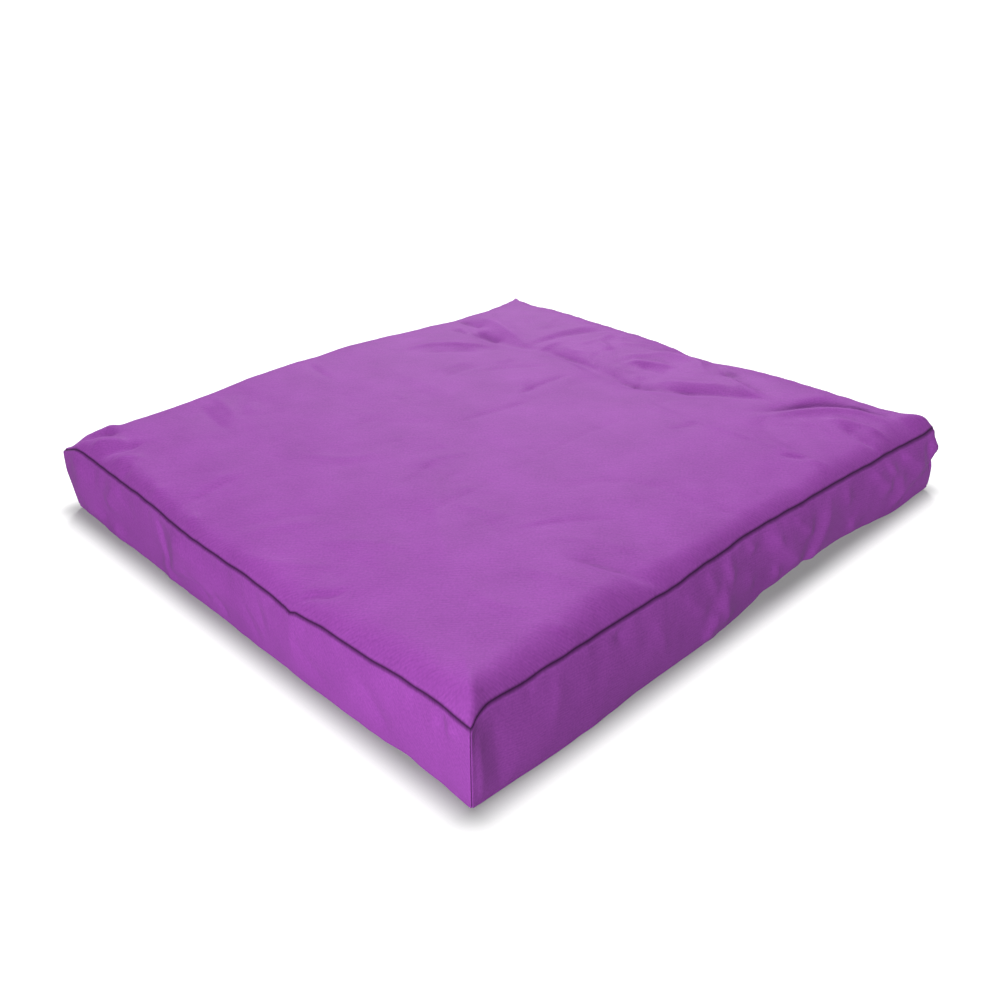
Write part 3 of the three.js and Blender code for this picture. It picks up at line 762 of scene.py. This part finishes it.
def build_cover():
    """The cover's points, faces, flat place of each face corner, and painted seam shade of each
    point.
    """
    us, vs = grid_shares(WIDTH), grid_shares(DEPTH)
    u, v = np.meshgrid(us, vs)
    index = np.arange(u.size).reshape(u.shape)
    sides = rim_of(us, vs, index)
    rim = np.concatenate([ids for s, ids in sides.values()])
    walls, flats, shades = zip(*[build_wall(side, s) for side, (s, ids) in sides.items()])

    # The resting face: rings of points inward from the walls' last row, and one in the middle
    wall = np.concatenate(walls, axis=1)
    wall[-1, :, 2] = 0
    rings = np.array([wall[-1] * (1 - k / RESTING_RINGS) for k in range(1, RESTING_RINGS)])
    parts = [top_points(u, v), wall, rings, np.zeros((1, 3))]
    points = np.concatenate([part.reshape(-1, 3) for part in parts])
    top_shade = seam_shade(np.min(top_edges(u, v), axis=0))
    shade = np.concatenate([top_shade.ravel(), np.concatenate(shades, axis=1).ravel()])
    shade = np.append(shade, np.zeros(len(points) - len(shade)))

    count = len(rim)
    loops = u.size + np.arange((len(wall) + len(rings)) * count).reshape(-1, count)
    loops = np.concatenate([rim[None, :], loops])
    centre = len(points) - 1
    faces = [cells_of(index).reshape(-1, 4), ring_cells(loops, loops[:, 0]).reshape(-1, 4)]
    faces = np.concatenate(faces).tolist()
    last = loops[-1]
    faces += [[a, centre, b] for a, b in zip(last.tolist(), np.roll(last, -1).tolist())]

    under = turned(np.concatenate([wall[-1:], rings])[..., :2], "under")
    panels = [ring_cells(flat[:, :-1], flat[:, -1]) for flat in flats]
    places = [
        cells_of(turned(np.stack([u * WIDTH, v * DEPTH], -1), "top")),
        np.concatenate(panels, axis=1),
        ring_cells(under, under[:, 0]),
        np.stack([under[-1], np.zeros_like(under[-1]), np.roll(under[-1], -1, axis=0)], 1),
    ]
    return points, faces, np.concatenate([part.reshape(-1, 2) for part in places]), shade


def make_cover():
    """The whole cover as one closed mesh, with its flat places and painted seam shades."""
    points, faces, places, shade = build_cover()
    mesh = bpy.data.meshes.new("cover")
    mesh.from_pydata((points * MM).tolist(), [], faces)
    weave = mesh.uv_layers.new(name="weave")
    weave.data.foreach_set("uv", (places * MM).ravel())
    # The seam attribute holds how much shade is painted along the seams' cracks
    seam = mesh.attributes.new("seam", "FLOAT", "POINT")
    seam.data.foreach_set("value", shade)
    mesh.polygons.foreach_set("use_smooth", [True] * len(mesh.polygons))
    mesh.update()
    cover = bpy.data.objects.new("cover", mesh)
    bpy.context.scene.collection.objects.link(cover)
    return cover


# The twill's colours, how much each kind of unevenness turns the dark one into the light, and the
# painted shade along the seams
TWILL_DARK = (0.19, 0.035, 0.238, 1)
TWILL_LIGHT = (0.35, 0.0725, 0.436, 1)
# The colour of the shade painted along the seams' cracks
SEAM_SHADE_COLOUR = (0.022, 0.003, 0.028, 1)
LINT_COLOUR = (0.1, 0.02, 0.13, 1)
GRAIN_SHARE = 0.75
WALE_SHARE = 0.08
YARN_SHARE = 0.35
CLOUD_SHARE = 0.5
# How far the painted seam shade covers the twill right on a seam
SEAM_SHADE_SHARE = 0.95

# Fineness of the cloth, in cells a metre
GRAIN_CELLS = 420
YARN_CELLS = 900
YARN_STRETCH = (0.08, 1, 1)  # yarns run along the twill lines
CLOUD_CELLS = 16
LINT_CELLS = 24
LINT_RADIUS = 0.022  # of a speck, as a share of its cell
LINT_SHADE = 0.3  # a cell whose random shade is below this holds one
WALE_PITCH = 0.0026  # metres from one twill line to the next
WALE_BANDS = 20  # bands that the wave texture draws over a length of 2 pi
WALE_WAVER = 2.2
WALE_WAVER_SCALE = 0.8

# Its relief and its gloss
GRAIN_BUMP = 1.2
WALE_BUMP = 0.3
YARN_BUMP = 0.6
BUMP_STRENGTH = 0.4
BUMP_DEPTH = 0.0005
ROUGHNESS = 0.7
SPECULAR = 0.1
SHEEN = 0.04
SHEEN_ROUGHNESS = 0.5


class Nodes:
    """A material's node tree, with short ways to add and join its nodes."""

    def __init__(self, name):
        self.material = bpy.data.materials.new(name)
        self.material.use_nodes = True
        self.tree = self.material.node_tree
        self.shader = self.tree.nodes["Principled BSDF"]

    def add(self, kind, **settings):
        node = self.tree.nodes.new(kind)
        for setting, value in settings.items():
            setattr(node, setting, value)
        return node

    def join(self, value, socket):
        """Feed a socket from another one, or set it to a number or colour."""
        if isinstance(value, bpy.types.NodeSocket):
            self.tree.links.new(value, socket)
        else:
            socket.default_value = value

    def math(self, operation, *values, clamp=False):
        node = self.add("ShaderNodeMath", operation=operation, use_clamp=clamp)
        for value, socket in zip(values, node.inputs):
            self.join(value, socket)
        return node.outputs[0]

    def mix(self, share, a, b):
        node = self.add("ShaderNodeMix", data_type="RGBA")
        self.join(share, node.inputs[0])
        self.join(a, node.inputs[6])
        self.join(b, node.inputs[7])
        return node.outputs[2]

    def noise(self, vector, scale, detail, stretch=(1, 1, 1)):
        """Noise of a number of cells a metre, around 0."""
        mapping = self.add("ShaderNodeMapping")
        mapping.inputs["Scale"].default_value = stretch
        self.join(vector, mapping.inputs["Vector"])
        node = self.add("ShaderNodeTexNoise")
        node.inputs["Scale"].default_value = scale
        node.inputs["Detail"].default_value = detail
        self.join(mapping.outputs[0], node.inputs["Vector"])
        return self.math("SUBTRACT", node.outputs[0], 0.5)


def make_twill():
    """Matte cotton twill: fine diagonal lines, uneven yarn, a soft nap and a few specks."""
    n = Nodes("purple_twill")
    place = n.add("ShaderNodeUVMap", uv_map="weave").outputs[0]
    # The seam attribute: the share of shade painted along the seams' cracks
    seam = n.add("ShaderNodeAttribute", attribute_name="seam").outputs["Fac"]

    wale = n.add("ShaderNodeTexWave", bands_direction="Y")
    wale.inputs["Scale"].default_value = 2 * math.pi / WALE_BANDS / WALE_PITCH
    wale.inputs["Distortion"].default_value = WALE_WAVER
    wale.inputs["Detail"].default_value = 2
    wale.inputs["Detail Scale"].default_value = WALE_WAVER_SCALE
    n.join(place, wale.inputs["Vector"])
    lines = n.math("SUBTRACT", wale.outputs["Fac"], 0.5)
    grain = n.noise(place, GRAIN_CELLS, detail=2)
    yarn = n.noise(place, YARN_CELLS, detail=1, stretch=YARN_STRETCH)
    cloud = n.noise(place, CLOUD_CELLS, detail=3)

    tone = n.math("MULTIPLY_ADD", grain, GRAIN_SHARE, 0.5)
    tone = n.math("MULTIPLY_ADD", lines, WALE_SHARE, tone)
    tone = n.math("MULTIPLY_ADD", yarn, YARN_SHARE, tone)
    tone = n.math("MULTIPLY_ADD", cloud, CLOUD_SHARE, tone, clamp=True)
    colour = n.mix(tone, TWILL_DARK, TWILL_LIGHT)

    # A few specks of lint: one in some cells, each far smaller than its cell
    cells = n.add("ShaderNodeTexVoronoi")
    cells.inputs["Scale"].default_value = LINT_CELLS
    n.join(place, cells.inputs["Vector"])
    speck = n.math("LESS_THAN", cells.outputs["Distance"], LINT_RADIUS)
    chosen = n.math("LESS_THAN", cells.outputs["Color"], LINT_SHADE)
    colour = n.mix(n.math("MULTIPLY", speck, chosen), colour, LINT_COLOUR)
    # Painted shade: the cloth darkens to near black along the seams' cracks
    colour = n.mix(n.math("MULTIPLY", seam, SEAM_SHADE_SHARE), colour, SEAM_SHADE_COLOUR)
    n.join(colour, n.shader.inputs["Base Color"])

    height = n.math("MULTIPLY_ADD", grain, GRAIN_BUMP, n.math("MULTIPLY", lines, WALE_BUMP))
    height = n.math("MULTIPLY_ADD", yarn, YARN_BUMP, height)
    bump = n.add("ShaderNodeBump")
    bump.inputs["Strength"].default_value = BUMP_STRENGTH
    bump.inputs["Distance"].default_value = BUMP_DEPTH
    n.join(height, bump.inputs["Height"])
    n.join(bump.outputs[0], n.shader.inputs["Normal"])

    n.shader.inputs["Roughness"].default_value = ROUGHNESS
    n.shader.inputs["Specular IOR Level"].default_value = SPECULAR
    n.shader.inputs["Sheen Weight"].default_value = SHEEN
    n.shader.inputs["Sheen Roughness"].default_value = SHEEN_ROUGHNESS
    return n.material


cover = make_cover()
cover.data.materials.append(make_twill())
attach(cover, "root")
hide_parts("cushion")

# Floor: grey paper, in metres, painted white by a glow that only the camera sees. Close round the
# cushion it glows only a little, so the shadow shows there, and the glow rises to plain white.
FLOOR_HALF = 20.0
FLOOR_DROP = 0.0003  # how far it lies under the cushion
FLOOR_COLOUR = (0.3, 0.3, 0.3, 1)
# Painted light: the camera-only glow is low beside the cushion, giving a painted darker band
# there, and full beyond
GLOW_CLOSE = 0.19
GLOW_FULL = 0.04  # distance at which it is white
GLOW = 0.95


def make_paper():
    """Paper whose painted glow, seen by the camera alone, depends on its distance from the
    cushion.
    """
    n = Nodes("paper_with_painted_glow")
    place = n.add("ShaderNodeTexCoord").outputs["Object"]
    beyond = n.add("ShaderNodeVectorMath", operation="ABSOLUTE")
    n.join(place, beyond.inputs[0])
    outside = n.add("ShaderNodeVectorMath", operation="SUBTRACT")
    n.join(beyond.outputs[0], outside.inputs[0])
    outside.inputs[1].default_value = (WIDTH / 2 * MM, DEPTH / 2 * MM, 0)
    kept = n.add("ShaderNodeVectorMath", operation="MAXIMUM")
    n.join(outside.outputs[0], kept.inputs[0])
    reach = n.add("ShaderNodeVectorMath", operation="LENGTH")
    n.join(kept.outputs[0], reach.inputs[0])
    glow = n.add("ShaderNodeMapRange", interpolation_type="SMOOTHSTEP")
    n.join(reach.outputs["Value"], glow.inputs["Value"])
    glow.inputs["From Max"].default_value = GLOW_FULL
    glow.inputs["To Min"].default_value = GLOW_CLOSE
    glow.inputs["To Max"].default_value = GLOW
    n.shader.inputs["Base Color"].default_value = FLOOR_COLOUR
    n.shader.inputs["Roughness"].default_value = 1.0
    n.shader.inputs["Specular IOR Level"].default_value = 0.0
    n.shader.inputs["Emission Color"].default_value = (1, 1, 1, 1)
    # Painted light: the glow reaches only the camera and lights nothing
    seen = n.add("ShaderNodeLightPath").outputs["Is Camera Ray"]
    n.join(n.math("MULTIPLY", glow.outputs["Result"], seen), n.shader.inputs["Emission Strength"])
    return n.material


def make_floor():
    """A large square of paper just under the cushion."""
    corners = [(-1, -1), (1, -1), (1, 1), (-1, 1)]
    mesh = bpy.data.meshes.new("floor")
    points = [(x * FLOOR_HALF, y * FLOOR_HALF, -FLOOR_DROP) for x, y in corners]
    mesh.from_pydata(points, [], [(0, 1, 2, 3)])
    mesh.materials.append(make_paper())
    floor = bpy.data.objects.new("floor", mesh)
    bpy.context.scene.collection.objects.link(floor)
    return floor


make_floor()

# Camera: angles in degrees, lengths in metres, lens and sensor in millimetres
CAMERA_AZIMUTH = 46.21
CAMERA_ELEVATION = 28.572
CAMERA_DISTANCE = 1.22968
CAMERA_TARGET = Vector((0.05382, -0.05541, 0.04))
CAMERA_ROLL = math.radians(-0.9904)
CAMERA_LENS = 38.326
CAMERA_SENSOR = 36


def towards(azimuth, elevation):
    """The way from the cushion to something around it. Azimuth 0 is in front, 90 to the right."""
    a, e = math.radians(azimuth), math.radians(elevation)
    return Vector((math.sin(a) * math.cos(e), -math.cos(a) * math.cos(e), math.sin(e)))


def add_camera():
    """The camera of the photo, rolled by a degree."""
    away = towards(CAMERA_AZIMUTH, CAMERA_ELEVATION)
    level = Vector((0, 0, 1)).cross(away).normalized()
    upright = away.cross(level)
    right = math.cos(CAMERA_ROLL) * level + math.sin(CAMERA_ROLL) * upright
    up = math.cos(CAMERA_ROLL) * upright - math.sin(CAMERA_ROLL) * level
    data = bpy.data.cameras.new("camera")
    data.sensor_width = CAMERA_SENSOR
    data.lens = CAMERA_LENS
    camera = bpy.data.objects.new("camera", data)
    turn = Matrix((right, up, away)).transposed().to_4x4()
    camera.matrix_world = Matrix.Translation(CAMERA_TARGET + away * CAMERA_DISTANCE) @ turn
    bpy.context.scene.collection.objects.link(camera)
    bpy.context.scene.camera = camera


# Light: soft lights far away, with their angles in degrees, and soft boxes at places in metres
SUNS = rows_of(["azimuth", "elevation", "strength", "angle"], [
    [225, 80, 1.0, 40],
    [225, 36, 3.3, 20],
    [37, 13, 2.5, 12],
])
SOFT_BOXES = rows_of(["place", "size", "power"], [
    [(-0.3, 0.6, 1.3), 1.2, 4.0],
    [(0.37, -0.9, 0.11), 0.4, 2.6],
    [(1.5, 0.6, 0.15), 0.7, 2.0],
])


def add_lamp(name, kind, way, place=(0, 0, 0), **settings):
    """A lamp at a place that shines back along a way."""
    data = bpy.data.lights.new(name, kind)
    for setting, value in settings.items():
        setattr(data, setting, value)
    lamp = bpy.data.objects.new(name, data)
    lamp.location = place
    lamp.rotation_mode = "QUATERNION"
    lamp.rotation_quaternion = way.to_track_quat("Z", "Y")
    lamp.visible_camera = False
    bpy.context.scene.collection.objects.link(lamp)


def add_lights():
    """All the lamps of the two tables."""
    for i, s in enumerate(SUNS):
        way = towards(s["azimuth"], s["elevation"])
        add_lamp(f"sun_{i}", "SUN", way, energy=s["strength"], angle=math.radians(s["angle"]))
    for i, b in enumerate(SOFT_BOXES):
        way = Vector(b["place"])
        add_lamp(f"soft_box_{i}", "AREA", way, b["place"], energy=b["power"], size=b["size"])


def add_white_surround():
    """A white surround behind the floor, which the camera sees but which sheds no light."""
    world = bpy.data.worlds.new("studio")
    world.use_nodes = True
    nodes, links = world.node_tree.nodes, world.node_tree.links
    dark = nodes["Background"]
    dark.inputs["Color"].default_value = (0, 0, 0, 1)
    white = nodes.new("ShaderNodeBackground")
    white.inputs["Color"].default_value = (1, 1, 1, 1)
    path = nodes.new("ShaderNodeLightPath")
    mix = nodes.new("ShaderNodeMixShader")
    links.new(path.outputs["Is Camera Ray"], mix.inputs[0])
    links.new(dark.outputs[0], mix.inputs[1])
    links.new(white.outputs[0], mix.inputs[2])
    links.new(mix.outputs[0], nodes["World Output"].inputs["Surface"])
    bpy.context.scene.world = world


add_camera()
add_lights()
add_white_surround()

bpy.context.scene.view_settings.view_transform = "Standard"
bpy.context.scene.view_settings.look = "None"
